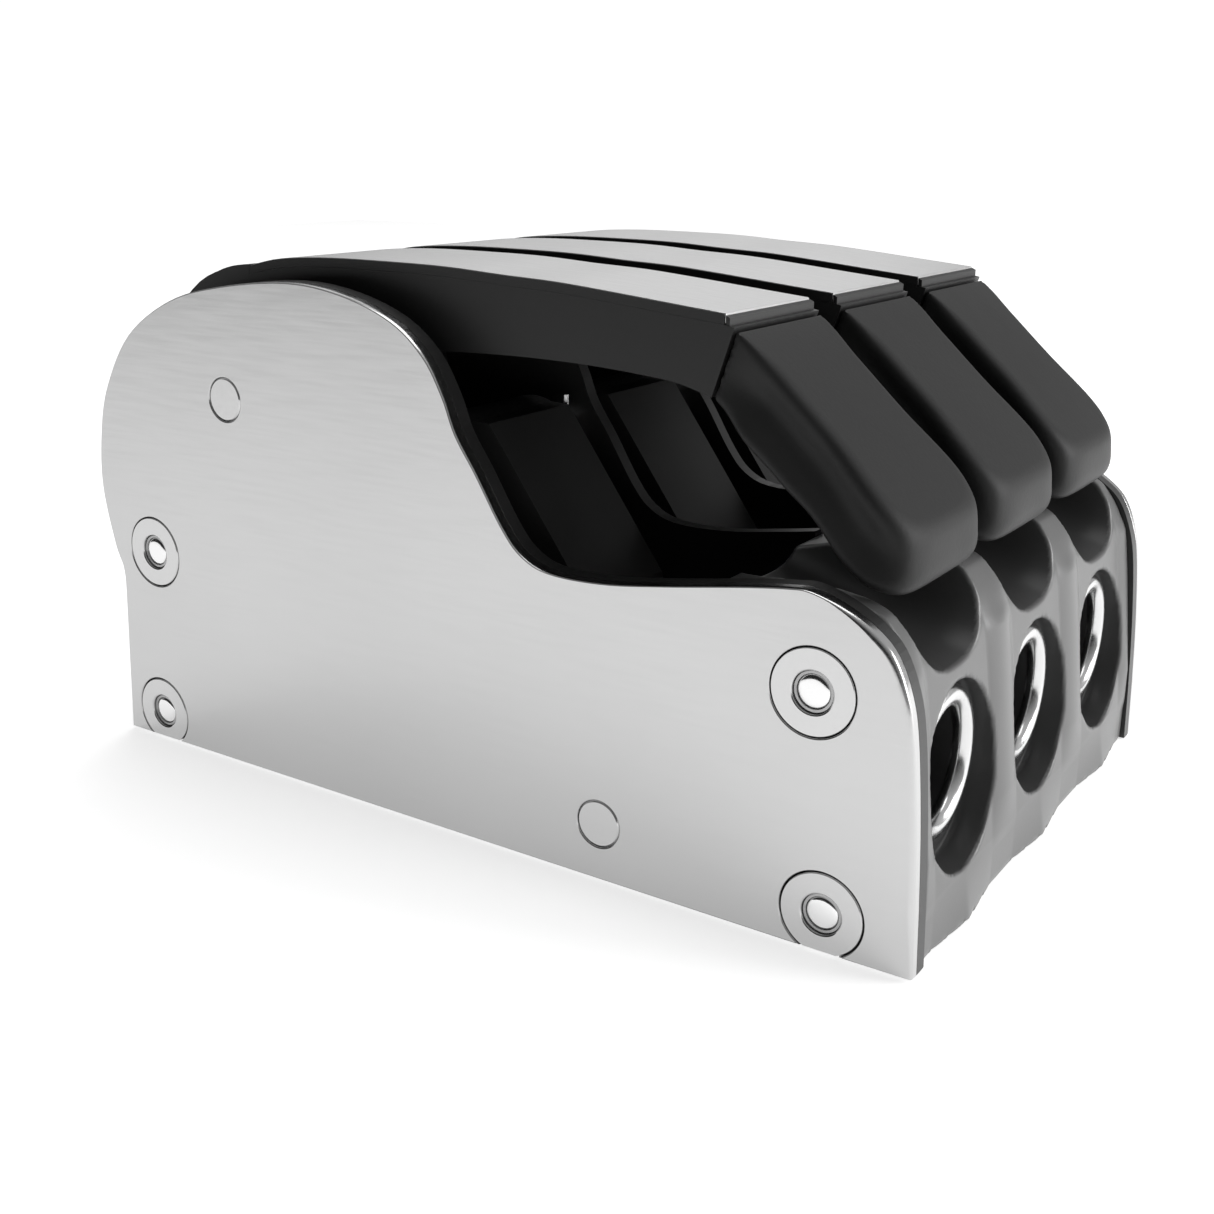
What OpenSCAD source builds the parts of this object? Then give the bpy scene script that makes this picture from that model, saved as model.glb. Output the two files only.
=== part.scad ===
// Triple lever-operated rope clutch: three side-by-side rope cells between two metal side plates.
// Each cell has a hinged handle, a toothed cam worked through a link, an anvil and guide rings.
// X runs along the ropes (handle tips at +X), Y across the cells, Z up. Origin: middle of the base.
// Units are millimetres.

/* [Cells] */
// Distance from one rope cell to the next
cell_pitch = 32.5; // [30:0.5:36]
// Number of the cell on the near side, counted along Y
cell_count = 3; // [3:1:3]
// Height of the rope line above the base
rope_z = 23; // [21:0.5:25]

/* [Side plates] */
// Distance between the outer faces of the two side plates
overall_w = 105; // [105:0.5:108]
// Thickness of each metal side plate
plate_t = 2; // [1.6:0.1:3]
// Thickness of the black liner behind each side plate
liner_t = 2.4; // [1.6:0.1:2.4]
// Radius of the flush collars in the side plates
collar_r = 6.4; // [5.5:0.1:7]
// Radius of the round tie rods
rod_r = 2.95; // [2.5:0.05:2.95]

/* [Handles] */
// Width of the handle arm and its metal strip
arm_w = 25; // [22:0.5:25]
// Width of the rubber grip at the handle tip
grip_w = 29.8; // [26:0.2:30]
// Thickness of the metal strip on top of the arm
strip_t = 1.5; // [1:0.1:2]
// Radius of the round handle hub
hub_r = 21.4; // [19:0.1:21.4]
// Radius of the axle all three handles turn on
axle_r = 3.66; // [3:0.01:4]
// Angle each handle lifts from closed to open
handle_swing = 100; // [90:1:100]

/* [Cam and link] */
// Width of each cam
cam_w = 21; // [18:0.5:22]
// Radius of the axle the cams hang on
cam_axle_r = 3; // [2.5:0.1:3.5]
// Distance from the handle axle to the crank pin
crank_r = 10; // [9:0.5:10]
// Distance from the cam axle to the link pin
cam_arm_r = 24; // [23:0.5:26]
// Thickness of the flat link
link_t = 6; // [4:0.5:6]
// Number of teeth on the cam face
cam_teeth = 11; // [8:1:14]

/* [Rope guides] */
// Radius of the open throat of each guide ring
throat_r = 8.2; // [7:0.1:8.5]
// Radius of the rounded rim of each guide ring
rim_r = 1.8; // [1.5:0.1:1.8]

/* [Hidden] */
$fn = 48;

fit = 0.03;                                  // gap between parts that are pressed together
run = 0.05;                                  // radial gap of a turning fit
plate_in = overall_w / 2 - plate_t;          // inner face of a side plate
body_half = plate_in - liner_t;              // half width of everything between the liners
cheek_t = 2.4;                               // thickness of the walls between cells
floor_t = 4.5;                               // thickness of the base floor
front_x = 46;                                // back face of the front body
rear_x = -49.5;                              // front face of the rear body

pivot = [-45.8, 66];                         // handle axle
cam_pivot = [-4.5, 58];                      // cam axle
lower_pivot = [29.2, 9.2];                   // lower axle
lower_r = 3.78;
rods = [[63.5, 37.8], [66.3, 5.75], [-67.5, 36.4], [-69.2, 5.3]];
inserts = [[55.5, cell_pitch / 2], [55.5, -cell_pitch / 2],
    [-58.5, cell_pitch / 2], [-58.5, -cell_pitch / 2]];
insert_h = 14;

function cell_y(n) = (n - 2) * cell_pitch;
function polar(a, r) = r * [cos(a), sin(a)];
function dir_of(v) = atan2(v[1], v[0]);

// The link lies square to the crank and to the cam arm at half travel
function settle(a, n) = n == 0 ? a
    : settle(dir_of(cam_pivot - pivot + polar(a - 90, cam_arm_r - crank_r)), n - 1);
mid_dir = settle(-30, 12);
cam_half = asin(crank_r * sin(handle_swing / 2) / cam_arm_r);
crank_pos = pivot + polar(mid_dir - 90 - handle_swing / 2, crank_r);
link_pos = cam_pivot + polar(mid_dir - 90 - cam_half, cam_arm_r);
link_len = norm(link_pos - crank_pos);
link_dir = dir_of(link_pos - crank_pos);
pin_r = 2;

// Smooth curve through a list of points, with straight ends
function hermite(a, b, c, d, t) = 0.5 * (2 * b + (c - a) * t
    + (2 * a - 5 * b + 4 * c - d) * t * t + (3 * b - a - 3 * c + d) * t * t * t);
function curve(p, steps) = [for (i = [0:len(p) - 2]) for (s = [0:steps - 1])
    hermite(p[max(i - 1, 0)], p[i], p[i + 1], p[min(i + 2, len(p) - 1)], s / steps)];

plate_pts = [[-76.8, 28], [-76.9, 32], [-78.6, 36.5], [-80.4, 47], [-79.2, 57], [-76.2, 65.5],
    [-69, 75], [-57.8, 81.4], [-45.4, 84.4], [-30, 85.9], [-18.2, 84.7], [-8.2, 81.4],
    [-2, 76.6], [1.5, 71], [3.8, 65.5], [7.5, 60], [12, 52.8], [15.5, 49], [20.5, 47.1],
    [29.7, 47.1], [40, 48.5], [52, 50.5], [59, 51.5], [62.5, 51.6], [67, 50.2], [71.2, 47.9],
    [74.5, 44.8], [76.8, 39.6], [78, 33.6], [79, 22], [79.6, 10]];

module plate_outline() {
    polygon(concat([[-79, 0]], curve(plate_pts, 4), [[79.6, 10], [79.9, 0]]));
}

// Everything drawn in X-Z is stood up and given its span across the cells
module slab(y0, y1) {
    translate([0, y1, 0])
        rotate([90, 0, 0])
            linear_extrude(y1 - y0)
                children();
}

module disc(c, r) {
    translate(c)
        circle(r);
}

module axle_holes(gap) {
    disc(pivot, axle_r + gap);
    disc(lower_pivot, lower_r + gap);
}

module side_plate(side) {
    y0 = side < 0 ? -overall_w / 2 : plate_in;
    color([0.82, 0.82, 0.83])
        slab(y0, y0 + plate_t)
            difference() {
                plate_outline();
                for (c = rods)
                    disc(c, collar_r);
                axle_holes(fit);
            }
}

module liner(side) {
    y0 = side < 0 ? -plate_in : body_half;
    color([0.05, 0.05, 0.05])
        slab(y0, y0 + liner_t)
            difference() {
                plate_outline();
                for (c = rods)
                    disc(c, rod_r + fit);
                axle_holes(fit);
                disc(cam_pivot, cam_axle_r + fit);
            }
}

module rear_profile() {
    difference() {
        intersection() {
            scale([0.985, 0.985])
                plate_outline();
            translate([-90, 0])
                square([90 + rear_x, 67]);
        }
        disc(pivot, hub_r + 2.9);
    }
}

module partition(y) {
    color([0.06, 0.06, 0.06])
        slab(y - cheek_t / 2, y + cheek_t / 2)
            difference() {
                intersection() {
                    plate_outline();
                    translate([-72, floor_t])
                        square([72 + front_x, 90]);
                }
                rear_profile();
                axle_holes(fit);
                disc(cam_pivot, cam_axle_r + fit);
            }
}

front_pts = [[78.9, 8], [78.5, 14], [77.7, 22], [76.8, 30], [76.3, 35], [75.5, 39.7],
    [74.4, 42.8], [72.6, 46.2], [70, 48.6], [66.5, 49.9], [62, 50.4]];

module front_block() {
    intersection() {
        slab(-body_half, body_half)
            polygon(concat([[front_x, 0], [80.5, 0]], curve(front_pts, 4), [[54, 49.9], [front_x, 48.6]]));
        linear_extrude(60)
            polygon(concat([[front_x, -body_half]],
                [for (n = [1:cell_count]) for (s = [-1, 0, 1])
                    let (edge = cell_y(n) + s * cell_pitch / 2.05)
                        [s == 0 ? 80.5 : 79.1, max(-body_half, min(body_half, edge))]],
                [[front_x, body_half]]));
    }
}

module along_x(x0, x1, r, y, z) {
    translate([x0, y, z])
        rotate([0, 90, 0])
            cylinder(h = x1 - x0, r = r);
}

// Oval mouth of one rope hole
module mouth(y) {
    translate([74.6, y, 0])
        rotate([90, 0, 90])
            linear_extrude(10) {
                disc([0, 23.6], 12.2);
                disc([0, 20.2], 12.2);
                translate([-12.2, 20.2])
                    square([24.4, 3.4]);
            }
}

// Finger scoop under one handle tip
module scoop(y) {
    translate([75.3, y, 51.6])
        rotate([0, 106, 0])
            translate([0, 0, -19])
                rotate([0, 180, 0])
                    translate([0, 0, -38])
                        cylinder(h = 40, r = 12.8);
}

module front_body() {
    color([0.25, 0.25, 0.26])
        difference() {
            front_block();
            for (n = [1:cell_count]) {
                along_x(front_x - 1, 90, throat_r + 1.3 + fit, cell_y(n), rope_z);
                along_x(71.75, 90, throat_r + 2 * rim_r + fit, cell_y(n), rope_z);
                mouth(cell_y(n));
                scoop(cell_y(n));
            }
            for (i = [0, 1])
                slab(-60, 60)
                    disc(rods[i], rod_r + fit);
            for (i = [0, 1])
                insert_hole(inserts[i]);
        }
}

module insert_hole(c) {
    translate([c[0], c[1], -1])
        cylinder(h = insert_h + 1.2, r = 4.4 + fit);
}

module rear_body() {
    color([0.07, 0.07, 0.07])
        difference() {
            slab(-body_half, body_half)
                rear_profile();
            for (n = [1:cell_count]) {
                along_x(-90, rear_x + 1, throat_r + 1.3 + fit, cell_y(n), rope_z);
                along_x(-90, -71.75, throat_r + 2 * rim_r + fit, cell_y(n), rope_z);
            }
            for (i = [2, 3])
                slab(-60, 60)
                    disc(rods[i], rod_r + fit);
            for (i = [2, 3])
                insert_hole(inserts[i]);
        }
}

module base_floor() {
    color([0.06, 0.06, 0.06])
        translate([rear_x, -body_half, 0])
            cube([front_x - rear_x, 2 * body_half, floor_t]);
}

// Guide ring: rounded rim outside, thin sleeve running into the body
module guide_ring(n, end) {
    color([0.9, 0.9, 0.92])
        translate([end * 73.6, cell_y(n), rope_z])
            rotate([0, end * -90, 0])
                rotate_extrude() {
                    translate([throat_r + rim_r, 0])
                        circle(rim_r, $fn = 32);
                    translate([throat_r, 0])
                        square([1.3, 12]);
                }
}

module anvil(n) {
    color([0.6, 0.6, 0.62])
        slab(cell_y(n) - 11, cell_y(n) + 11)
            difference() {
                polygon(concat([[-8, floor_t], [40, floor_t], [40, 17]],
                    [for (i = [0:13]) for (s = [0, 1]) [38 - 3.1 * i - s * 2.2, s == 0 ? 19 : 18]],
                    [[-8, 16]]));
                disc(lower_pivot, lower_r + fit);
            }
}

// Rod with low domed ends
module domed_rod(c, r, half, dome) {
    translate([c[0], 0, c[1]])
        rotate([90, 0, 0])
            rotate_extrude()
                polygon(concat([[0, -half - dome]],
                    [for (a = [80:-10:0]) [r * cos(a), -half - dome * sin(a)]],
                    [for (a = [0:10:80]) [r * cos(a), half + dome * sin(a)]],
                    [[0, half + dome]]));
}

module tie_rods() {
    color([0.75, 0.75, 0.77])
        for (c = rods)
            domed_rod(c, rod_r, overall_w / 2 - 1.6, 1.2);
}

module collars() {
    color([0.8, 0.8, 0.81])
        for (c = rods) for (side = [-1, 1])
            slab(side < 0 ? -overall_w / 2 : plate_in, side < 0 ? -plate_in : overall_w / 2)
                intersection() {
                    difference() {
                        disc(c, collar_r - fit);
                        disc(c, rod_r + fit);
                    }
                    translate([-90, 0])
                        square([180, 60]);
                }
}

module cross_axle(c, r, half) {
    color([0.78, 0.78, 0.8])
        slab(-half, half)
            disc(c, r);
}

module cam_spacers() {
    inner = cam_w / 2 + 0.2;
    outer = 14.9;
    color([0.7, 0.7, 0.72])
        for (n = [1:cell_count]) for (side = [-1, 1])
            slab(cell_y(n) + (side < 0 ? -outer : inner), cell_y(n) + (side < 0 ? -inner : outer))
                difference() {
                    disc(cam_pivot, 4.8);
                    disc(cam_pivot, cam_axle_r + fit);
                }
}

module deck_inserts() {
    color([0.72, 0.58, 0.3])
        for (c = inserts)
            translate([c[0], c[1], 0])
                difference() {
                    cylinder(h = insert_h, r = 4.4);
                    translate([0, 0, -1])
                        cylinder(h = insert_h + 2, r = 3.05);
                }
}

arm_top = [[-45.8, 87.3], [-38.5, 88.7], [-27, 89.3], [-12.5, 89.25], [-2.6, 89], [6.9, 88.4],
    [16.5, 87.9], [25.5, 87.1], [34.5, 86.2], [44.6, 85.2]];
// Top and back of the hub, a little fuller than its circle
hub_back = [[-66.7, 68.5], [-66.3, 74.5], [-63.8, 79.3], [-58.2, 84], [-52, 86.4], [-45.8, 87.3]];
arm_under = [[42.9, 73.8], [37.8, 75.2], [32.9, 75.8], [24.5, 76.4], [15.7, 76.7], [6.5, 76.7],
    [-3, 76.4], [-14, 75.6], [-26, 73.4]];

function strip_under() = [for (p = curve(arm_top, 3)) p - [0, strip_t]];

module arm_profile() {
    difference() {
        union() {
            disc(pivot, hub_r);
            polygon(concat([pivot], curve(hub_back, 3), [hub_back[5]]));
            polygon(concat(strip_under(), [[44.6, 85.2 - strip_t], [46.2, 83.4]],
                curve(arm_under, 3), [[-26, 73.4], [-45.8, 66]]));
        }
        polygon(concat(strip_under(), [[44, 95], [arm_top[0][0], 95]]));
    }
}

module handle_arm(n) {
    y = cell_y(n);
    color([0.1, 0.1, 0.1])
        difference() {
            union() {
                slab(y - arm_w / 2, y + arm_w / 2)
                    arm_profile();
                slab(y - 14.6, y + 14.6)
                    disc(pivot, 7.5);
                slab(y - 8, y + 8)
                    polygon([[44, 82], [42, 76], [57, 66.5], [60, 69.5], [48, 80]]);
            }
            slab(y - 20, y + 20) {
                disc(pivot, axle_r + run);
                disc(crank_pos, pin_r + fit);
            }
            slab(y - link_t / 2 - 0.4, y + link_t / 2 + 0.4) {
                disc(pivot, hub_r - 4);
                translate(pivot)
                    polygon(concat([[0, 0]], [for (a = [-180:15:-15]) polar(a, hub_r + 6)]));
            }
        }
}

module handle_strip(n) {
    color([0.8, 0.8, 0.81])
        slab(cell_y(n) - arm_w / 2, cell_y(n) + arm_w / 2)
            polygon(concat(curve(arm_top, 3), [[44.6, 85.2], [44.6, 85.2 - strip_t]],
                [for (i = [26:-1:0]) strip_under()[i]]));
}

// Soft grip over the arm's tongue, with a nose that dips into the finger scoop
module handle_grip(n) {
    y = cell_y(n);
    color([0.12, 0.12, 0.12])
        difference() {
            hull() {
                slab(y - grip_w / 2, y + grip_w / 2)
                    polygon([[43.5, 73.7], [46.7, 82.6], [48.6, 81], [53.6, 76.2], [72, 59.2], [73.2, 56.6],
                        [72.4, 54.4], [60.5, 55.4], [52, 64.8]]);
                slab(y - grip_w / 2 + 2.5, y + grip_w / 2 - 2.5)
                    polygon([[47, 83.8], [50, 81.2], [73.4, 59], [74.4, 56]]);
                slab(y - 7.5, y + 7.5)
                    polygon([[73.6, 53], [71.5, 50], [68.5, 48.8], [65, 49.2], [61, 53]]);
            }
            slab(y - 40, y + 40)
                polygon([[43.5, 73.7], [46.75, 83.8], [46, 90], [30, 90], [30, 60]]);
            slab(y - 8.03, y + 8.03)
                polygon([[40, 84], [41.9, 75.9], [57.1, 66.4], [60.1, 69.5], [48, 80.1]]);
        }
}

module pin(n, c, half) {
    color([0.7, 0.7, 0.72])
        slab(cell_y(n) - half, cell_y(n) + half)
            disc(c, pin_r);
}

// Toothed edge: an arc centred ahead of the cam axle, so the cam tightens as the rope pulls back
tooth_c = [10, 60];
tooth_r = 33;

module cam_edge() {
    polygon(concat([[-7, 66], [2.5, 65.6], [21, 40], [22.6, 34]],
        [for (i = [0:cam_teeth]) for (s = [0, 1])
            tooth_c + polar(-68 - (i + s * 0.75) * 44 / (cam_teeth + 1), tooth_r - s * 0.9)],
        [link_pos + [0, -5.2], link_pos, link_pos + [-3.5, 3.5], [-12.6, 60]]));
}

module cam(n) {
    y = cell_y(n);
    color([0.3, 0.3, 0.32])
        difference() {
            union() {
                slab(y - cam_w / 2, y + cam_w / 2)
                    cam_edge();
                slab(y - cam_w / 2, y + cam_w / 2)
                    disc(cam_pivot, 8.5);
                slab(y - cam_w / 2, y + cam_w / 2)
                    disc(link_pos, 5.2);
            }
            slab(y - 20, y + 20)
                disc(cam_pivot, cam_axle_r + run);
            slab(y - 20, y + 20)
                disc(link_pos, pin_r + fit);
            slab(y - link_t / 2 - 0.4, y + link_t / 2 + 0.4)
                translate([-50, 25])
                    square([36, 30]);
        }
}

// Flat link, bowed to pass under the handle axle; the slot at the crank end takes up its arc
module cam_link(n) {
    play = 2.2;
    eye = 4.4;
    slot = pin_r + 0.6;
    axle_side = 3.6;
    color([0.66, 0.66, 0.68])
        translate([crank_pos[0], 0, crank_pos[1]])
            rotate([0, -link_dir, 0])
                translate([0, cell_y(n), 0])
                    difference() {
                        union() {
                            slab(-link_t / 2, link_t / 2)
                                disc([0, 0], eye);
                            slab(-link_t / 2, link_t / 2)
                                disc([0, -play], eye);
                            slab(-link_t / 2, link_t / 2)
                                translate([-eye, -play])
                                    square([2 * eye, play]);
                            slab(-link_t / 2, link_t / 2)
                                disc([link_len, 0], 4.6);
                            slab(-link_t / 2, link_t / 2)
                                polygon([[0, 1.8], [link_len, 3], [link_len, -3],
                                    [link_len * 0.6, -6], [3, -6.5]]);
                        }
                        slab(-link_t, link_t)
                            translate([-eye, axle_side])
                                square([2 * eye, eye]);
                        slab(-link_t, link_t)
                            disc([0, 0], slot);
                        slab(-link_t, link_t)
                            disc([0, -play], slot);
                        slab(-link_t, link_t)
                            translate([-slot, -play])
                                square([2 * slot, play]);
                        slab(-link_t, link_t)
                            disc([link_len, 0], pin_r + run);
                    }
}

// Torsion spring beside the cam hub, one leg against each side
module cam_spring(n) {
    wire = 0.45;
    coil_r = 5.9;
    turns = 3.25;
    steps = 52;
    sides = 6;
    y0 = cell_y(n) + cam_w / 2 + 0.8;
    module leg(p, q) {
        translate(p)
            rotate([0, acos((q - p)[2] / norm(q - p)), atan2((q - p)[1], (q - p)[0])])
                cylinder(h = norm(q - p), r = wire, $fn = 6);
    }
    pts = [for (i = [0:steps]) let (a = i * turns * 360 / steps) for (j = [0:sides - 1])
        let (r = coil_r + wire * cos(j * 60))
            [r * cos(a), -r * sin(a), i * 2.9 / steps + wire * sin(j * 60)]];
    faces = concat([[for (j = [0:sides - 1]) j]],
        [for (i = [0:steps - 1]) for (j = [0:sides - 1])
            [i * sides + j, (i + 1) * sides + j,
                (i + 1) * sides + (j + 1) % sides, i * sides + (j + 1) % sides]],
        [[for (j = [sides - 1:-1:0]) steps * sides + j]]);
    color([0.6, 0.6, 0.62])
        translate([cam_pivot[0], y0, cam_pivot[1]])
            rotate([-90, 0, 0])
                union() {
                    polyhedron(pts, faces);
                    leg([coil_r, 0, 0.01], [coil_r, -9, 0.01]);
                    leg([0.02, coil_r, 2.89], [-9, coil_r, 2.89]);
                }
}

side_plate(-1);  // side_plate_near
side_plate(1);  // side_plate_far
liner(-1);  // liner_near
liner(1);  // liner_far
partition(-cell_pitch / 2);  // partition_a
partition(cell_pitch / 2);  // partition_b
front_body();
rear_body();
base_floor();
for (n = [1:cell_count]) {
    guide_ring(n, 1);
    guide_ring(n, -1);
    anvil(n);
    handle_arm(n);
    handle_strip(n);
    handle_grip(n);
    pin(n, crank_pos, 12);
    cam(n);
    pin(n, link_pos, 10.4);
    cam_link(n);
    cam_spring(n);
}
tie_rods();
collars();
cross_axle(pivot, axle_r, overall_w / 2);  // handle_axle
cross_axle(lower_pivot, lower_r, overall_w / 2);  // lower_axle
cross_axle(cam_pivot, cam_axle_r, plate_in);  // cam_axle
cam_spacers();
deck_inserts();
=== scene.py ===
import math

import bpy
import numpy as np
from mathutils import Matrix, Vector
from mathutils.geometry import tessellate_polygon


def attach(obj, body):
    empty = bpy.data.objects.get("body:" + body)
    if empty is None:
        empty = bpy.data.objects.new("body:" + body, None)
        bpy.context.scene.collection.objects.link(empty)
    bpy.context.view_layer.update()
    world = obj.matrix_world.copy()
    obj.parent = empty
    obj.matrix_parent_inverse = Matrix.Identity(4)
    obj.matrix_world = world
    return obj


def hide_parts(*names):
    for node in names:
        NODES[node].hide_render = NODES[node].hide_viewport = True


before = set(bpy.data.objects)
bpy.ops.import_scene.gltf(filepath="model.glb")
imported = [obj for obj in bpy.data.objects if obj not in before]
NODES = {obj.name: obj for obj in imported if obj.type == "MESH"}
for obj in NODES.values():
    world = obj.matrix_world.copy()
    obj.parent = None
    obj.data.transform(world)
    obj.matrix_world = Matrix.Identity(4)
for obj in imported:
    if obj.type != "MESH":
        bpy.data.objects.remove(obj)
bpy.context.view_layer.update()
MM = 0.001
COLL = bpy.context.scene.collection

# ---------------------------------------------------------------- dimensions, mm, CAD frame
PITCH = 32.5
CELLS = (1, 2, 3)
HALF_W = 52.5                       # outer face of a side plate
PLATE_T = 2.0
EDGE_R = 0.8                        # rounding of a plate's outside edge at full weight
BODY_HALF = 48.1                    # half width between the liners
COLLAR_R = 6.4
ROD_R = 2.95
PIVOT = (-45.8, 66.0)
LOWER = (29.2, 9.2)
PIVOT_R, LOWER_R = 3.66, 3.78
RODS = ((63.5, 37.8), (66.3, 5.75), (-67.5, 36.4), (-69.2, 5.3))
ROPE_Z = 23.0
THROAT_R, RIM_R, RING_X = 8.2, 1.8, 73.6
STRIP_T, ARM_HALF = 1.5, 12.5
GRIP_HALF = 14.9
SCOOP_X, SCOOP_Z, SCOOP_TILT = 75.3, 51.6, 106     # finger scoop: end of its axis, degrees
INSERT_X, INSERT_R, INSERT_H = 55.5, 4.45, 14.2    # bores of the front deck inserts
SHADE_RING_IN, SHADE_RING_OUT = 51.3, 52.05                    # dark ring round the dome of each tie rod, painted shade in the groove
CAM_AT = (0.142153, -0.216412, 0.107499)           # camera, metres
CAM_DIR = (-0.53475, 0.78759, -0.30619)

PLATE_PTS = [(-76.8, 28), (-76.9, 32), (-78.6, 36.5), (-80.4, 47), (-79.2, 57), (-76.2, 65.5),
             (-69, 75), (-57.8, 81.4), (-45.4, 84.4), (-30, 85.9), (-18.2, 84.7), (-8.2, 81.4),
             (-2, 76.6), (1.5, 71), (3.8, 65.5), (7.5, 60), (12, 52.8), (15.5, 49), (20.5, 47.1),
             (29.7, 47.1), (40, 48.5), (52, 50.5), (59, 51.5), (62.5, 51.6), (67, 50.2), (71.2, 47.9),
             (74.5, 44.8), (76.8, 39.6), (78, 33.6), (79, 22), (79.6, 10)]
ARM_TOP = [(-45.8, 87.3), (-38.5, 88.7), (-27, 89.3), (-12.5, 89.25), (-2.6, 89), (6.9, 88.4),
           (16.5, 87.9), (25.5, 87.1), (34.5, 86.2), (44.6, 85.2)]
FRONT_PTS = [(79.2, 8), (78.6, 14), (77.75, 22), (76.85, 30), (76.35, 34), (75.5, 39.7), (74.6, 42.4),
             (73.5, 45), (72.2, 46.9), (70.5, 48.5), (67, 49.7), (62, 50.3)]
GRIP_PTS = [(38, 86.0), (42.7, 84.5), (46.8, 82.7), (51.9, 78.7), (58.5, 72.7), (65.1, 66.7), (71.4, 60.6),
            (73.7, 57.9), (74.4, 55), (74.2, 52.6), (72.4, 50.4), (69.2, 49.2), (66.3, 49.4), (62.6, 52.4),
            (58.6, 58.2), (53.8, 63.6), (47.8, 68.8), (43.5, 73.3), (38, 76)]
SEAM_LOW, SEAM_HIGH = (43.55, 73.7), (46.78, 83.8)      # where grip and arm meet


def cell_y(n):
    return (n - 2) * PITCH


def curve(pts, steps):
    """Catmull-Rom curve through the points."""
    p = [np.array(q, float) for q in pts]
    out = []
    for i in range(len(p) - 1):
        a, b, c, d = p[max(i - 1, 0)], p[i], p[i + 1], p[min(i + 2, len(p) - 1)]
        for s in range(steps):
            t = s / steps
            out.append(0.5 * (2 * b + (c - a) * t + (2 * a - 5 * b + 4 * c - d) * t * t
                              + (3 * b - a - 3 * c + d) * t ** 3))
    return [tuple(q) for q in out]


def circle(c, r, n=64):
    turn = 2 * math.pi
    return [(c[0] + r * math.cos(turn * i / n), c[1] + r * math.sin(turn * i / n)) for i in range(n)]


def plate_outline(steps=6):
    return [(-79, 0)] + curve(PLATE_PTS, steps) + [(79.6, 10), (79.9, 0)]


# ---------------------------------------------------------------- mesh helpers
def make_mesh(name, verts, faces, sharp=None, weighted=False):
    """Smooth-shaded object from vertices in mm."""
    me = bpy.data.meshes.new(name)
    v = np.asarray(verts, float) * MM
    me.from_pydata([tuple(q) for q in v], [], [tuple(int(i) for i in f) for f in faces])
    me.validate()
    me.update()
    me.polygons.foreach_set("use_smooth", [True] * len(me.polygons))
    if sharp is not None:
        me.set_sharp_from_angle(angle=math.radians(sharp))
    ob = bpy.data.objects.new(name, me)
    COLL.objects.link(ob)
    if weighted:
        w = ob.modifiers.new("weighted", "WEIGHTED_NORMAL")
        w.keep_sharp = True
        w.weight = 80
    return ob


def offset_loop(loop, d):
    """The closed loop moved d towards its left-hand side (inwards when it runs anticlockwise)."""
    p = np.asarray(loop, float)
    e1 = p - np.roll(p, 1, 0)
    e2 = np.roll(p, -1, 0) - p
    n1 = np.c_[-e1[:, 1], e1[:, 0]] / np.linalg.norm(e1, axis=1)[:, None]
    n2 = np.c_[-e2[:, 1], e2[:, 0]] / np.linalg.norm(e2, axis=1)[:, None]
    m = n1 + n2
    m /= np.linalg.norm(m, axis=1)[:, None]
    k = 1 / np.maximum(0.35, (m * n1).sum(1))
    return p + m * k[:, None] * d


def area2(loop):
    p = np.asarray(loop, float)
    q = np.roll(p, -1, 0)
    return float((p[:, 0] * q[:, 1] - q[:, 0] * p[:, 1]).sum())


def edge_steps(r, n=4):
    """Rounding of a plate edge: pairs of (inset, depth) from the face to the side."""
    if r <= 0:
        return [(0.0, 0.0)]
    quarter = math.pi / 2
    return [(r * (1 - math.sin(quarter * i / n)), r * (1 - math.cos(quarter * i / n))) for i in range(n + 1)]


def prism(name, outer, holes, y0, y1, r0=0.0, r1=0.0, h0=0.0, h1=0.0, weight=None):
    """Flat part with rounded outer edges (r0 at y0, r1 at y1) and chamfered holes.
    weight scales the rounding at each point of the outline."""
    if area2(outer) < 0:
        outer = outer[::-1]
        weight = None if weight is None else weight[::-1]
    loops = [(outer, r0, r1, 4, 4)]
    loops += [(h if area2(h) < 0 else h[::-1], h0, h1, 2, 2) for h in holes]
    verts, faces, caps0, caps1 = [], [], [], []
    for loop, a, b, na, nb in loops:
        rows = [(ins, y0 + dep) for ins, dep in edge_steps(a, na)]
        rows += [(ins, y1 - dep) for ins, dep in reversed(edge_steps(b, nb))]
        n = len(loop)
        base = len(verts)
        for ins, y in rows:
            shift = ins if weight is None or loop is not outer else ins * np.asarray(weight)[:, None]
            verts += [(x, y, z) for x, z in offset_loop(loop, shift)]
        for r in range(len(rows) - 1):
            for i in range(n):
                j = (i + 1) % n
                a0, a1 = base + r * n, base + (r + 1) * n
                faces.append((a0 + i, a0 + j, a1 + j, a1 + i))
        caps0.append((base, n))
        caps1.append((base + (len(rows) - 1) * n, n))
    for caps, flip in ((caps0, False), (caps1, True)):
        polys = [[Vector((verts[b + i][0], verts[b + i][2], 0)) for i in range(n)] for b, n in caps]
        index = [b + i for b, n in caps for i in range(n)]
        for t in tessellate_polygon(polys):
            f = [index[i] for i in t]
            a, b, c = (np.array(verts[i]) for i in f)
            ny = np.cross(b - a, c - a)[1]
            if abs(ny) < 1e-9:
                continue
            if (ny > 0) != flip:
                f = f[::-1]
            faces.append(tuple(f))
    return make_mesh(name, verts, faces, sharp=50, weighted=True)


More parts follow.
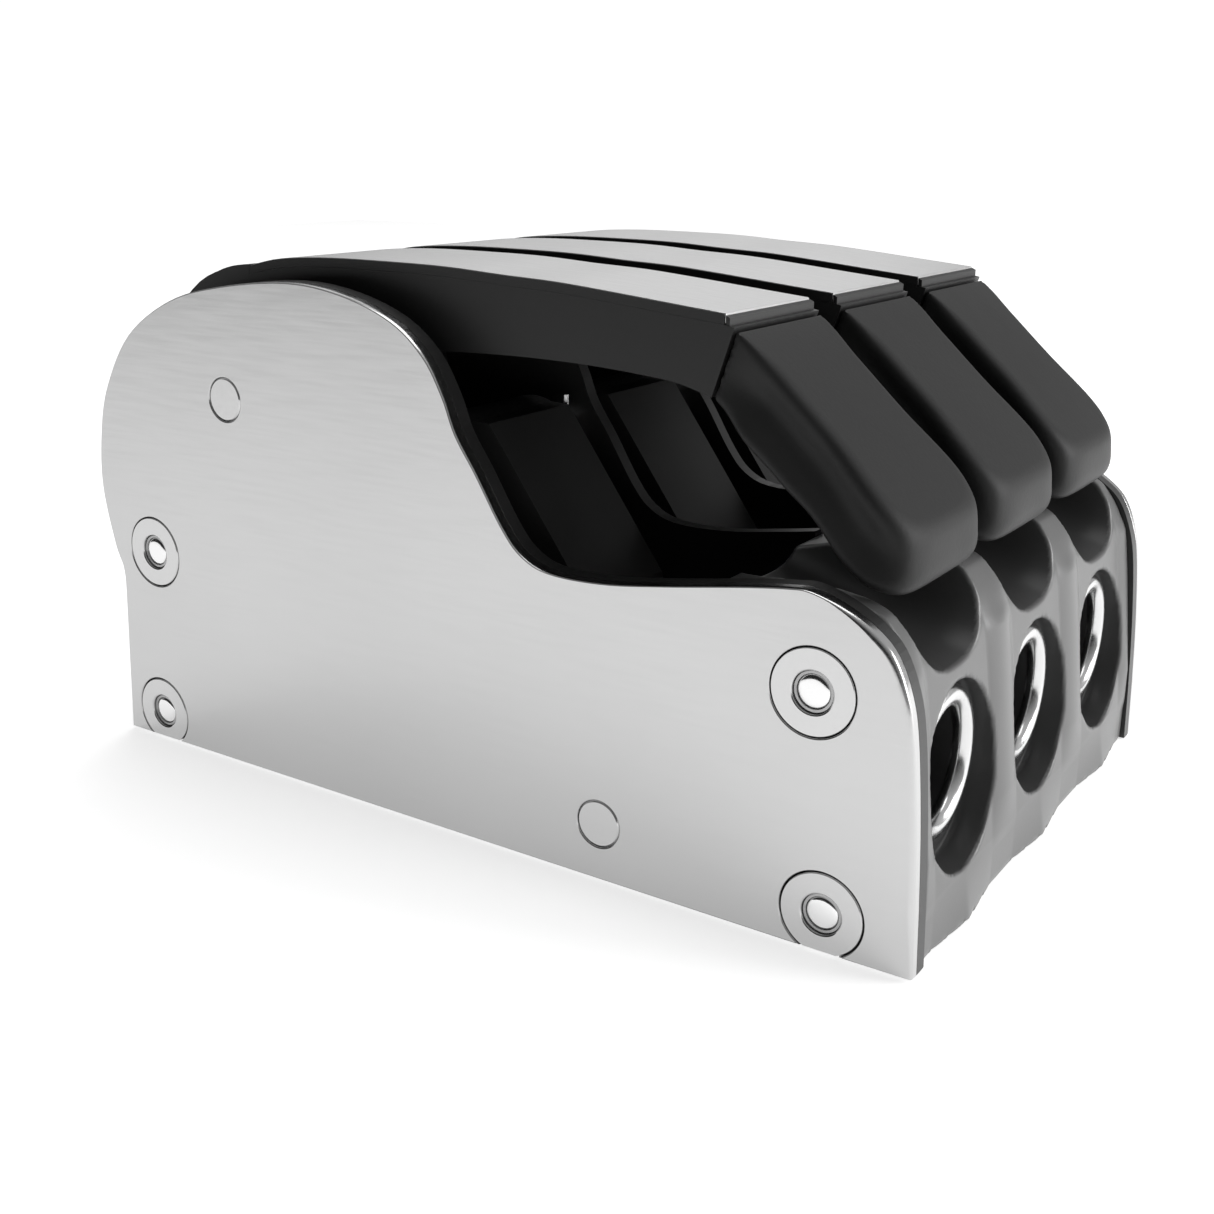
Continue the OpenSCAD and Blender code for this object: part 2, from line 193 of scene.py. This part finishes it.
def lathe(name, profile, centre, axis, n=72, closed=False, sharp=32):
    """Profile of (radius, height) pairs turned about an axis through centre: 'x', 'y' or 'z'."""
    verts, faces = [], []
    rings = []
    for r, h in profile:
        if r < 1e-6:
            rings.append([len(verts)])
            verts.append((0, 0, h))
        else:
            rings.append(list(range(len(verts), len(verts) + n)))
            verts += [(x, y, h) for x, y in circle((0, 0), r, n)]
    pairs = list(zip(rings[:-1], rings[1:])) + ([(rings[-1], rings[0])] if closed else [])
    for a, b in pairs:
        for i in range(n):
            j = (i + 1) % n
            if len(a) == 1:
                faces.append((a[0], b[j], b[i]))
            elif len(b) == 1:
                faces.append((a[i], a[j], b[0]))
            else:
                faces.append((a[i], a[j], b[j], b[i]))
    c = np.array(centre, float)
    out = []
    for x, y, z in verts:
        if axis == "z":
            q = (x, y, z)
        elif axis == "y":
            q = (y, z, x)
        else:
            q = (z, x, y)
        out.append(c + q)
    return make_mesh(name, out, faces, sharp=sharp)


def join(name, objs):
    for o in bpy.context.selected_objects:
        o.select_set(False)
    for o in objs:
        o.select_set(True)
    bpy.context.view_layer.objects.active = objs[0]
    bpy.ops.object.join()
    ob = bpy.context.view_layer.objects.active
    ob.name = name
    ob.data.name = name
    ob.select_set(False)
    return ob


# ---------------------------------------------------------------- solid shapes from distance fields
def smin(a, b, k):
    h = np.clip(0.5 + 0.5 * (b - a) / k, 0, 1)
    return b * (1 - h) + a * h - k * h * (1 - h)


def smax(a, b, k):
    return -smin(-a, -b, k)


class Outline:
    """Signed distance to a closed X-Z outline, from a table."""

    def __init__(self, pts, step=0.25, pad=6.0):
        p = np.asarray(pts, float)
        self.lo, self.step = p.min(0) - pad, step
        hi = p.max(0) + pad
        nx, nz = (int(v) + 2 for v in (hi - self.lo) / step)
        gx, gz = np.meshgrid(self.lo[0] + step * np.arange(nx), self.lo[1] + step * np.arange(nz),
                             indexing="ij")
        d = np.full(gx.shape, 1e9)
        inside = np.zeros(gx.shape, bool)
        for a, b in zip(p, np.roll(p, -1, 0)):
            e = b - a
            t = np.clip(((gx - a[0]) * e[0] + (gz - a[1]) * e[1]) / max(e @ e, 1e-12), 0, 1)
            d = np.minimum(d, np.hypot(gx - a[0] - t * e[0], gz - a[1] - t * e[1]))
            if a[1] != b[1]:
                hit = ((a[1] > gz) != (b[1] > gz)) & (gx < e[0] * (gz - a[1]) / e[1] + a[0])
                inside ^= hit
        self.table = np.where(inside, -d, d)

    def __call__(self, x, z):
        u = np.clip((x - self.lo[0]) / self.step, 0, self.table.shape[0] - 1.001)
        v = np.clip((z - self.lo[1]) / self.step, 0, self.table.shape[1] - 1.001)
        i, j = u.astype(int), v.astype(int)
        u, v = u - i, v - j
        t = self.table
        near = t[i, j] * (1 - u) + t[i + 1, j] * u
        far = t[i, j + 1] * (1 - u) + t[i + 1, j + 1] * u
        return near * (1 - v) + far * v


def surface_net(f, lo, hi, h):
    """Vertices and quads of the surface f = 0 (inside is below zero)."""
    lo, hi = np.array(lo, float), np.array(hi, float)
    n = np.ceil((hi - lo) / h).astype(int) + 1
    ax = [lo[i] + h * np.arange(n[i]) for i in range(3)]
    v = f(*np.meshgrid(*ax, indexing="ij"))
    s = v < 0
    cells = np.zeros((n[0] - 1, n[1] - 1, n[2] - 1), np.int32)
    tot = np.zeros(cells.shape + (3,))
    cnt = np.zeros(cells.shape)
    base = np.stack(np.meshgrid(*[a[:-1] for a in ax], indexing="ij"), -1)
    for axis in range(3):
        o1, o2 = [(1, 2), (0, 2), (0, 1)][axis]
        for da in (0, 1):
            for db in (0, 1):
                sl0, sl1 = [slice(None)] * 3, [slice(None)] * 3
                for k in range(3):
                    m = n[k] - 1
                    if k == axis:
                        sl0[k], sl1[k] = slice(0, m), slice(1, m + 1)
                    else:
                        d = da if k == o1 else db
                        sl0[k] = sl1[k] = slice(d, d + m)
                a, b = v[tuple(sl0)], v[tuple(sl1)]
                x = (a < 0) != (b < 0)
                t = np.where(x, a / np.where(a == b, 1, a - b), 0)
                cnt += x
                off = np.zeros(cells.shape + (3,))
                off[..., axis] = t * h
                off[..., o1] = da * h
                off[..., o2] = db * h
                tot += np.where(x[..., None], off, 0)
    used = cnt > 0
    ids = np.full(cells.shape, -1)
    ids[used] = np.arange(used.sum())
    pts = base[used] + tot[used] / cnt[used][:, None]
    e = 0.05 * h
    for _ in range(3):
        x, y, z = pts.T
        d = f(x, y, z)
        g = np.stack([f(x + e, y, z) - f(x - e, y, z), f(x, y + e, z) - f(x, y - e, z),
                      f(x, y, z + e) - f(x, y, z - e)], -1) / (2 * e)
        g2 = np.maximum((g ** 2).sum(1), 0.05)
        step = -(d / g2)[:, None] * g
        ln = np.linalg.norm(step, axis=1)[:, None]
        pts = pts + step * np.minimum(1, 0.4 * h / np.maximum(ln, 1e-9))
    faces = []
    for axis in range(3):
        o1, o2 = [(1, 2), (2, 0), (0, 1)][axis]
        a = np.take(s, range(0, n[axis] - 1), axis)
        b = np.take(s, range(1, n[axis]), axis)
        i = np.argwhere(a != b)
        i = i[(i[:, o1] > 0) & (i[:, o1] < n[o1] - 1) & (i[:, o2] > 0) & (i[:, o2] < n[o2] - 1)]
        ins = a[tuple(i.T)]
        corner = []
        for du, dv in ((-1, -1), (0, -1), (0, 0), (-1, 0)):
            j = i.copy()
            j[:, o1] += du
            j[:, o2] += dv
            corner.append(ids[tuple(j.T)])
        q = np.stack(corner, 1)
        q[~ins] = q[~ins][:, ::-1]
        faces.append(q)
    return pts, np.concatenate(faces)


# ---------------------------------------------------------------- materials
def new_material(name):
    m = bpy.data.materials.new(name)
    m.use_nodes = True
    nt = m.node_tree
    bsdf = next(n for n in nt.nodes if n.type == "BSDF_PRINCIPLED")
    return m, nt, bsdf


def tex_coord(nt, scale=(1, 1, 1)):
    tc = nt.nodes.new("ShaderNodeTexCoord")
    mp = nt.nodes.new("ShaderNodeMapping")
    mp.inputs["Scale"].default_value = scale
    nt.links.new(tc.outputs["Object"], mp.inputs["Vector"])
    return mp.outputs["Vector"]


def noise(nt, vec, scale, detail=3.0, rough=0.5):
    n = nt.nodes.new("ShaderNodeTexNoise")
    n.inputs["Scale"].default_value = scale
    n.inputs["Detail"].default_value = detail
    n.inputs["Roughness"].default_value = rough
    nt.links.new(vec, n.inputs["Vector"])
    return n.outputs["Fac"]


def remap(nt, val, lo, hi, f0=0.3, f1=0.7):
    r = nt.nodes.new("ShaderNodeMapRange")
    r.inputs["From Min"].default_value = f0
    r.inputs["From Max"].default_value = f1
    r.inputs["To Min"].default_value = lo
    r.inputs["To Max"].default_value = hi
    nt.links.new(val, r.inputs["Value"])
    return r.outputs["Result"]


def mix_grey(nt, fac, a, b):
    m = nt.nodes.new("ShaderNodeMix")
    m.data_type = "RGBA"
    nt.links.new(fac, m.inputs[0])
    m.inputs[6].default_value = (*a, 1) if isinstance(a, tuple) else (a, a, a, 1)
    m.inputs[7].default_value = (*b, 1) if isinstance(b, tuple) else (b, b, b, 1)
    return m.outputs[2]


def bump(nt, bsdf, height, strength, dist):
    b = nt.nodes.new("ShaderNodeBump")
    b.inputs["Strength"].default_value = strength
    b.inputs["Distance"].default_value = dist
    nt.links.new(height, b.inputs["Height"])
    nt.links.new(b.outputs["Normal"], bsdf.inputs["Normal"])


def metal(name, tone_a, tone_b, r_a, r_b, grain=(1, 1, 1), grain_scale=900.0, bump_s=0.05, cloud=18.0):
    """Brushed or polished metal: broad tone clouds, fine grain in roughness and bump."""
    m, nt, b = new_material(name)
    b.inputs["Metallic"].default_value = 1.0
    v = tex_coord(nt)
    g = tex_coord(nt, grain)
    clouds = noise(nt, v, cloud, 4.0)
    fine = noise(nt, g, grain_scale, 2.0)
    nt.links.new(mix_grey(nt, clouds, tone_a, tone_b), b.inputs["Base Color"])
    nt.links.new(remap(nt, fine, r_a, r_b), b.inputs["Roughness"])
    if bump_s:
        bump(nt, b, fine, bump_s, 0.00004)
    return m


def plastic(name, tone_a, tone_b, r_a, r_b, grain_scale=1600.0, bump_s=0.12, dist=0.00006, spec=0.5,
            cloud=30.0):
    """Moulded plastic or rubber: faint tone change, fine moulded grain."""
    m, nt, b = new_material(name)
    b.inputs["Specular IOR Level"].default_value = spec
    v = tex_coord(nt)
    clouds = noise(nt, v, cloud, 4.0)
    fine = noise(nt, v, grain_scale, 3.0, 0.6)
    nt.links.new(mix_grey(nt, clouds, tone_a, tone_b), b.inputs["Base Color"])
    nt.links.new(remap(nt, clouds, r_a, r_b), b.inputs["Roughness"])
    bump(nt, b, fine, bump_s, dist)
    return m


M_PLATE = metal("polished_plate", 0.49, 0.54, 0.17, 0.24, grain=(0.06, 1, 1), grain_scale=1500.0, bump_s=0.03)
M_COLLAR = metal("turned_collar", 0.52, 0.58, 0.16, 0.24, grain_scale=1200.0, bump_s=0.04)
M_ROD = metal("polished_rod", 0.74, 0.80, 0.10, 0.17, grain_scale=1500.0, bump_s=0.02)
M_CHROME = metal("chromed_ring", 0.58, 0.64, 0.17, 0.24, grain_scale=1500.0, bump_s=0.015)
M_STRIP = metal("satin_strip", 0.53, 0.60, 0.30, 0.42, grain=(0.03, 1, 1), grain_scale=2200.0, bump_s=0.10)
M_CAM = plastic("cam_block", 0.020, 0.028, 0.42, 0.52, bump_s=0.08, spec=0.25)
M_STEEL = metal("plain_steel", 0.50, 0.58, 0.22, 0.34, grain_scale=1200.0, bump_s=0.05)
# darker grey for the rings round the rod domes: painted shade in the groove
M_GROOVE_SHADE = metal("groove_shade_grey", 0.34, 0.42, 0.32, 0.42, grain_scale=1200.0, bump_s=0.05)
M_BRASS = metal("insert_brass", (0.62, 0.45, 0.20), (0.70, 0.52, 0.25), 0.28, 0.40, grain_scale=1200.0,
                bump_s=0.05)
M_BLACK = plastic("black_moulding", 0.020, 0.028, 0.32, 0.42, bump_s=0.08, spec=0.38)
M_ARM = plastic("handle_arm", 0.013, 0.019, 0.42, 0.52, bump_s=0.12, spec=0.35)
M_RUBBER = plastic("grip_rubber", 0.012, 0.018, 0.46, 0.60, grain_scale=1300.0, bump_s=0.30, dist=0.00008,
                   spec=0.24)


def front_material():
    """Satin moulding with painted shade in the pockets: darker colour and less specular where a vertex
    attribute marks them.
    """
    m, nt, b = new_material("front_moulding")
    v = tex_coord(nt)
    clouds = noise(nt, v, 40.0, 4.0)
    fine = noise(nt, v, 1500.0, 3.0, 0.6)
    at = nt.nodes.new("ShaderNodeAttribute")
    at.attribute_name = "pocket"
    # outer is the moulding's own tone; inner is painted shade, a darker colour for the pockets and scoops
    outer = mix_grey(nt, clouds, 0.095, 0.120)
    inner = mix_grey(nt, clouds, 0.042, 0.054)
    mx = nt.nodes.new("ShaderNodeMix")
    mx.data_type = "RGBA"
    nt.links.new(at.outputs["Fac"], mx.inputs[0])
    nt.links.new(outer, mx.inputs[6])
    nt.links.new(inner, mx.inputs[7])
    nt.links.new(mx.outputs[2], b.inputs["Base Color"])
    # lower specular in the pockets: more painted shade
    nt.links.new(remap(nt, at.outputs["Fac"], 0.55, 0.12, 0.0, 1.0), b.inputs["Specular IOR Level"])
    nt.links.new(remap(nt, clouds, 0.30, 0.38), b.inputs["Roughness"])
    bump(nt, b, fine, 0.12, 0.00006)
    return m


M_FRONT = front_material()


def dress(ob, mat, body="housing", replaces=()):
    ob.data.materials.clear()
    ob.data.materials.append(mat)
    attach(ob, body)
    if replaces:
        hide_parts(*replaces)
    return ob


# ---------------------------------------------------------------- side plates
def collar_arc(c, r):
    """The part of a lower collar's circle that stays above the base, from +X round to -X."""
    a = math.asin(c[1] / r)
    pts = [(c[0] + r * math.cos(t), c[1] + r * math.sin(t)) for t in np.linspace(-a, math.pi + a, 56)]
    return [(x, max(0.0, z)) for x, z in pts]


def plate_prism(side, name, outer, holes, weight, inner_round, hole_chamfer):
    """Flat part in the thickness of one side plate, its outside edge rounded the most."""
    if side < 0:
        return prism(name, outer, holes, -HALF_W, -HALF_W + PLATE_T, EDGE_R, inner_round,
                     hole_chamfer, 0.05, weight)
    return prism(name, outer, holes, HALF_W - PLATE_T, HALF_W, inner_round, EDGE_R,
                 0.05, hole_chamfer, weight)


def side_plate(side):
    """Polished plate; the two lower collars run out through its base line."""
    holes = [circle(c, COLLAR_R, 72) for c in RODS if c[1] > COLLAR_R]
    holes += [circle(PIVOT, PIVOT_R + 0.04), circle(LOWER, LOWER_R + 0.04)]
    pts = plate_outline()
    # full rounding on the front edge, less along the S-curve and the base
    weight = [0.3 if z < 1 else float(np.clip((x - 62) / 10, 0.3, 1.0)) for x, z in pts]
    for c in sorted((c for c in RODS if c[1] <= COLLAR_R), key=lambda q: -q[0]):
        arc = collar_arc(c, COLLAR_R)
        pts += [(arc[0][0] + 0.4, 0.0)] + arc + [(arc[-1][0] - 0.4, 0.0)]
        weight += [0.25] * (len(arc) + 2)
    near = side < 0
    ob = plate_prism(side, "plate_near" if near else "plate_far", pts, holes, weight, 0.15, 0.2)
    dress(ob, M_PLATE, replaces=["side_plate_near" if near else "side_plate_far"])


for s in (-1, 1):
    side_plate(s)

# ---------------------------------------------------------------- collars, rods and axles
collars = []
for c in RODS:
    for s in (-1, 1):
        r = COLLAR_R - 0.1
        ring, weight = circle(c, r, 72), [0.25] * 72
        if c[1] <= COLLAR_R:
            arc = collar_arc(c, r)
            ring = [(arc[-1][0] + 0.4, 0.0), (arc[0][0] - 0.4, 0.0)] + arc
            weight = [0.25] * (len(arc) + 2)
        collars.append(plate_prism(s, "collar", ring, [circle(c, ROD_R + 0.1, 48)], weight, 0.05, 0.25))
dress(join("plate_collars", collars), M_COLLAR, replaces=["collars"])


def rod_profile(r, half):
    """Bar with a smaller polished dome on each end."""
    dome_r, drop = 2.45, 1.0
    end = [(0.0, half)]
    end += [(dome_r * q, half - 0.22 * q ** 2.4) for q in (0.25, 0.5, 0.7, 0.85)]
    end += [(dome_r - 0.3 + 0.3 * math.sin(a), half - 0.22 - 0.3 * (1 - math.cos(a)))
            for a in np.linspace(0.3, math.pi / 2, 5)]
    end += [(dome_r, half - drop), (r - 0.2, half - drop), (r, half - drop - 0.2)]
    return [(q, -h) for q, h in end] + end[::-1]


rods = [lathe("rod", rod_profile(ROD_R, HALF_W - 0.25), (c[0], 0, c[1]), "y", 48) for c in RODS]
dress(join("rod_bars", rods), M_ROD, replaces=["tie_rods"])
# a darker ring sunk round each rod dome stands in for the shadow in the groove between rod and collar:
# painted shade
groove_shade_rings = []
for c in RODS:
    for s in (-1, 1):
        prof = [(2.5, SHADE_RING_IN), (2.95, SHADE_RING_IN), (3.0, SHADE_RING_IN + 0.1), (3.0, SHADE_RING_OUT - 0.1),
                (2.9, SHADE_RING_OUT), (2.55, SHADE_RING_OUT), (2.5, SHADE_RING_OUT - 0.1)]
        prof = [(r, s * h) for r, h in (prof if s > 0 else prof[::-1])]
        groove_shade_rings.append(lathe("groove_shade_ring", prof, (c[0], 0, c[1]), "y", 48, closed=True))
dress(join("rod_groove_shade", groove_shade_rings), M_GROOVE_SHADE)


def pin_profile(r, half, edge):
    return [(0, -half), (r - edge, -half), (r, -half + edge), (r, half - edge), (r - edge, half), (0, half)]


dress(lathe("axle_handle", pin_profile(PIVOT_R, HALF_W - 0.05, 0.3), (PIVOT[0], 0, PIVOT[1]), "y"), M_COLLAR,
      replaces=["handle_axle"])
dress(lathe("axle_lower", pin_profile(LOWER_R, HALF_W - 0.05, 0.3), (LOWER[0], 0, LOWER[1]), "y"), M_COLLAR,
      replaces=["lower_axle"])

# ---------------------------------------------------------------- guide rings
for n in CELLS:
    for end, word in ((1, "front"), (-1, "rear")):
        at = (end * RING_X, cell_y(n), ROPE_Z)
        rim = [(THROAT_R + RIM_R + RIM_R * math.cos(a), end * RIM_R * math.sin(a))
               for a in np.linspace(0, 2 * math.pi, 29)[:-1]]
        ob = lathe(f"{word}_guide_{n}", rim if end < 0 else rim[::-1], at, "x", 112, closed=True)
        dress(ob, M_CHROME, replaces=[f"{word}_ring_{n}"])
        inner, outer = THROAT_R + 0.25, THROAT_R + 1.3
        tube = [(inner, -0.9), (outer, -0.9), (outer, -11.9), (outer - 0.1, -12), (inner + 0.1, -12),
                (inner, -11.9)]
        tube = [(r, end * h) for r, h in tube]
        ob = lathe(f"{word}_sleeve_{n}", tube if end > 0 else tube[::-1], at, "x", 72, closed=True)
        dress(ob, M_BLACK)

# ---------------------------------------------------------------- front body
FRONT_OUT = Outline([(46, 0), (79.2, 0)] + curve(FRONT_PTS, 5) + [(54, 49.9), (46, 48.6)])


def cell_rel(y):
    """Distance across from the nearest cell centre."""
    return y - PITCH * np.clip(np.round(y / PITCH), -1, 1)


def oval(yr, z, half=12.2, z0=8.0, z1=35.8):
    zc = np.clip(z, z0 + half, z1 - half)
    return np.hypot(yr, z - zc) - half


def scoop_field(x, yr, z):
    s, c = math.sin(math.radians(SCOOP_TILT)), math.cos(math.radians(SCOOP_TILT))
    # distance below the tilted axis
    down = (x - SCOOP_X) * c - (z - SCOOP_Z) * s
    q = (np.abs(yr) / 12.7) ** 2.5 + (np.maximum(down, 0) / 12.9) ** 2.5
    return (q ** (1 / 2.5) - 1) * 12.5


def front_skin(x, y, z):
    """Outer face of the front body, before its pockets are cut."""
    yr = cell_rel(y)
    # pointed prow under each hole, fading out below the oval
    prow = 1.25 * np.clip(1 - np.sqrt((yr / 11.5) ** 2 + 0.001), 0, 1) * np.clip(1 - z / 7.8, 0, 1)
    # rounded columns between the holes
    w = PITCH / 2 - np.abs(yr)
    col = 0.75 * np.clip(1 - (w / 5.2) ** 2, 0, 1) * np.clip((z - 6) / 8, 0, 1) * np.clip((46 - z) / 6, 0, 1)
    return FRONT_OUT(x - prow - col, z)


def front_field(x, y, z):
    yr = cell_rel(y)
    f = front_skin(x, y, z)
    f = smax(f, np.abs(y) - (BODY_HALF - 0.03), 0.9)
    pocket = smax(oval(yr, z, 12.2 - np.clip(76 - x, 0, 2) * 0.12), 73.9 - x, 0.7)
    f = smax(f, -pocket, 0.28)
    f = smax(f, -scoop_field(x, yr, z), 0.32)
    f = np.maximum(f, -(np.hypot(yr, z - ROPE_Z) - (THROAT_R + 1.33)))
    f = np.maximum(f, -np.maximum(np.hypot(yr, z - ROPE_Z) - (THROAT_R + 2 * RIM_R + 0.05), 71.8 - x))
    for cx, cz in RODS[:2]:
        f = np.maximum(f, -(np.hypot(x - cx, z - cz) - ROD_R - 0.05))
    for cy in (-PITCH / 2, PITCH / 2):
        f = np.maximum(f, -np.maximum(np.hypot(x - INSERT_X, y - cy) - INSERT_R, z - INSERT_H))
    return f


pts, quads = surface_net(front_field, (45.2, -49.2, -1.0), (81.6, 49.2, 51.6), 0.5)
fb = make_mesh("front_housing", pts, quads)
# painted shade: the pocket attribute rises with depth below the outer skin, full from about 0.47 mm deep
depth = -front_skin(*pts.T)
pocket_shade_mask = np.clip((depth - 0.12) / 0.35, 0, 1)
at = fb.data.attributes.new("pocket", "FLOAT", "POINT")
at.data.foreach_set("value", pocket_shade_mask.astype(np.float32))
dress(fb, M_FRONT, replaces=["front_body"])

# ---------------------------------------------------------------- handles
strip_top = curve(ARM_TOP, 5) + [ARM_TOP[-1]]


def handle_strip(n):
    y = cell_y(n)
    under = [(x, z - STRIP_T) for x, z in strip_top]
    loop = strip_top + [(44.7, 85.0), (44.7, 83.8)] + under[::-1][1:]
    ob = prism(f"strip_{n}", loop, [], y - ARM_HALF + 0.3, y + ARM_HALF - 0.3, 0.12, 0.12)
    dress(ob, M_STRIP, body=f"handle_{n}", replaces=[f"handle_strip_{n}"])
    low = [(x, z - 0.12) for x, z in strip_top] + [(44.6, 83.7)] + under[::-1][1:]
    lip_at = ARM_HALF - 0.15
    lips = [prism("lip", low, [], y + s * lip_at - 0.13, y + s * lip_at + 0.13, 0.04, 0.04) for s in (-1, 1)]
    # the arm's lip across the front end of the strip
    end = [(44.78, 83.2), (45.4, 83.2), (45.4, 84.6), (44.78, 84.9)]
    lips.append(prism("lip", end, [], y - ARM_HALF + 0.1, y + ARM_HALF - 0.1, 0.04, 0.04))
    dress(join(f"strip_lips_{n}", lips), M_ARM, body=f"handle_{n}")


GRIP_OUT = Outline(curve(GRIP_PTS + [GRIP_PTS[0]], 6))
GRIP_DIR = (math.cos(math.radians(-43)), math.sin(math.radians(-43)))


def ease(t):
    t = np.clip(t, 0, 1)
    return t * t * (3 - 2 * t)


def grip_field(x, yr, z):
    # depth below the top face and distance along it
    dx, dz = x - 46.8, z - 83.0
    along = dx * GRIP_DIR[0] + dz * GRIP_DIR[1]
    depth = dx * GRIP_DIR[1] - dz * GRIP_DIR[0]
    # the underside of the nose curves up towards both flanks
    lift = 5.0 * np.clip(np.abs(yr) / GRIP_HALF, 0, 1.1) ** 2.6 * ease((depth - 5) / 7) * ease((x - 54) / 8)
    f = GRIP_OUT(x, z - lift)
    # half width: top face widening to the tip, hollow flank, full lower band
    top = 12.7 - 0.25 * np.exp(-(along / 5) ** 2) + 1.7 * ease((along - 18) / 14)
    low = ARM_HALF + 0.1 + (GRIP_HALF - ARM_HALF - 0.1) * ease(along / 13)
    hollow = 1.7 * np.exp(-((depth - 4.6) / 2.9) ** 2) * ease((along - 1) / 9) * ease((41 - along) / 10)
    half = top + (low - top) * ease((depth - 1.5) / 9.5) - hollow
    # rounded nose in plan, rounder towards the top
    p = 4.2 + 1.0 * ease(depth / 8)
    nose = np.clip((x - 63) / 11.3, 0, 1.4)
    rounded = (((np.abs(yr) / half) ** p + nose ** p) ** (1 / p) - 1) * 14
    side = np.where(x > 63, rounded, (np.abs(yr) / half - 1) * 14)
    f = smax(f, side, 0.5 + 2.1 * ease(along / 9))
    # flat seam against the arm
    ex, ez = SEAM_HIGH[0] - SEAM_LOW[0], SEAM_HIGH[1] - SEAM_LOW[1]
    return np.maximum(f, ((z - SEAM_LOW[1]) * ex - (x - SEAM_LOW[0]) * ez) / math.hypot(ex, ez))


gp, gq = surface_net(grip_field, (41.0, -16.0, 47.6), (76.0, 16.0, 85.2), 0.5)


def grip(n):
    ob = make_mesh(f"grip_{n}", gp + np.array([0, cell_y(n), 0]), gq, sharp=48)
    return dress(ob, M_RUBBER, body=f"handle_{n}", replaces=[f"handle_grip_{n}"])


for n in CELLS:
    handle_strip(n)
    grip(n)


# ---------------------------------------------------------------- carried-over CAD nodes
def bevelled(ob, width, angle=38):
    m = ob.modifiers.new("edge", "BEVEL")
    m.width = width * MM
    m.segments = 2
    m.limit_method = "ANGLE"
    m.angle_limit = math.radians(angle)
    m.harden_normals = True
    return ob


CARRIED = {
    "liner_near": M_BLACK, "liner_far": M_BLACK, "partition_a": M_BLACK, "partition_b": M_BLACK,
    "rear_body": M_BLACK, "base_floor": M_BLACK, "cam_axle": M_STEEL, "cam_spacers": M_STEEL,
    "deck_inserts": M_BRASS,
}
for n in CELLS:
    CARRIED.update({
        f"anvil_{n}": M_STEEL, f"handle_arm_{n}": M_ARM, f"crank_pin_{n}": M_STEEL, f"cam_{n}": M_CAM,
        f"link_pin_{n}": M_STEEL, f"cam_link_{n}": M_STEEL, f"cam_spring_{n}": M_STEEL,
    })
for name, mat in CARRIED.items():
    ob = NODES[name]
    ob.data.materials.clear()
    ob.data.materials.append(mat)
for name in ["partition_a", "partition_b", "liner_near", "liner_far"] + [f"cam_{n}" for n in CELLS]:
    bevelled(NODES[name], 0.35)
for n in CELLS:
    bevelled(NODES[f"handle_arm_{n}"], 0.3)

# ---------------------------------------------------------------- stage, lights, camera
bpy.ops.mesh.primitive_plane_add(size=2.6, location=(0, 0, -0.0003))
floor = bpy.context.active_object
floor.name = "floor"
fm, _, fb_ = new_material("pale_floor")
fb_.inputs["Base Color"].default_value = (0.93, 0.93, 0.93, 1)
fb_.inputs["Roughness"].default_value = 0.8
fb_.inputs["Emission Color"].default_value = (1, 1, 1, 1)
fb_.inputs["Emission Strength"].default_value = 0.62
floor.data.materials.append(fm)

world = bpy.data.worlds.new("studio")
bpy.context.scene.world = world
world.use_nodes = True
wn = world.node_tree
bg = next(n for n in wn.nodes if n.type == "BACKGROUND")
bg.inputs["Strength"].default_value = 0.55
# the room is bright behind and above, dark in front and to the left
way = wn.nodes.new("ShaderNodeTexCoord")
dot = wn.nodes.new("ShaderNodeVectorMath")
dot.operation = "DOT_PRODUCT"
dot.inputs[1].default_value = Vector((0.35, 0.65, 0.67)).normalized()
wn.links.new(way.outputs["Generated"], dot.inputs[0])
ramp = wn.nodes.new("ShaderNodeMapRange")
ramp.inputs["From Min"].default_value = -0.3
ramp.inputs["From Max"].default_value = 0.9
ramp.inputs["To Min"].default_value = 0.04
ramp.inputs["To Max"].default_value = 1.0
wn.links.new(dot.outputs["Value"], ramp.inputs["Value"])
wn.links.new(ramp.outputs["Result"], bg.inputs["Color"])
backdrop = wn.nodes.new("ShaderNodeBackground")
backdrop.inputs["Color"].default_value = (1, 1, 1, 1)
backdrop.inputs["Strength"].default_value = 1.05
path = wn.nodes.new("ShaderNodeLightPath")
mixer = wn.nodes.new("ShaderNodeMixShader")
wn.links.new(path.outputs["Is Camera Ray"], mixer.inputs[0])
wn.links.new(bg.outputs[0], mixer.inputs[1])
wn.links.new(backdrop.outputs[0], mixer.inputs[2])
wn.links.new(mixer.outputs[0], next(n for n in wn.nodes if n.type == "OUTPUT_WORLD").inputs["Surface"])


def area(name, loc, target, size, power):
    li = bpy.data.lights.new(name, "AREA")
    li.energy = power
    li.size = size
    ob = bpy.data.objects.new(name, li)
    COLL.objects.link(ob)
    ob.location = loc
    ob.rotation_euler = (Vector(target) - Vector(loc)).to_track_quat("-Z", "Y").to_euler()


area("key_top", (0.0, 0.25, 0.9), (0, 0, 0.04), 0.6, 3.2)
area("fill_right", (0.80, 0.40, 0.28), (0.07, 0, 0.03), 0.45, 5.0)
area("back_sky", (-0.75, 1.15, 0.80), (0, 0, 0.06), 0.9, 1.6)

cam_data = bpy.data.cameras.new("camera")
cam = bpy.data.objects.new("camera", cam_data)
COLL.objects.link(cam)
cam.location = CAM_AT
cam.rotation_euler = Vector(CAM_DIR).to_track_quat("-Z", "Y").to_euler()
cam_data.lens = 43.35
cam_data.sensor_width = 36
cam_data.clip_start = 0.01
bpy.context.scene.camera = cam
bpy.context.scene.view_settings.view_transform = "Standard"
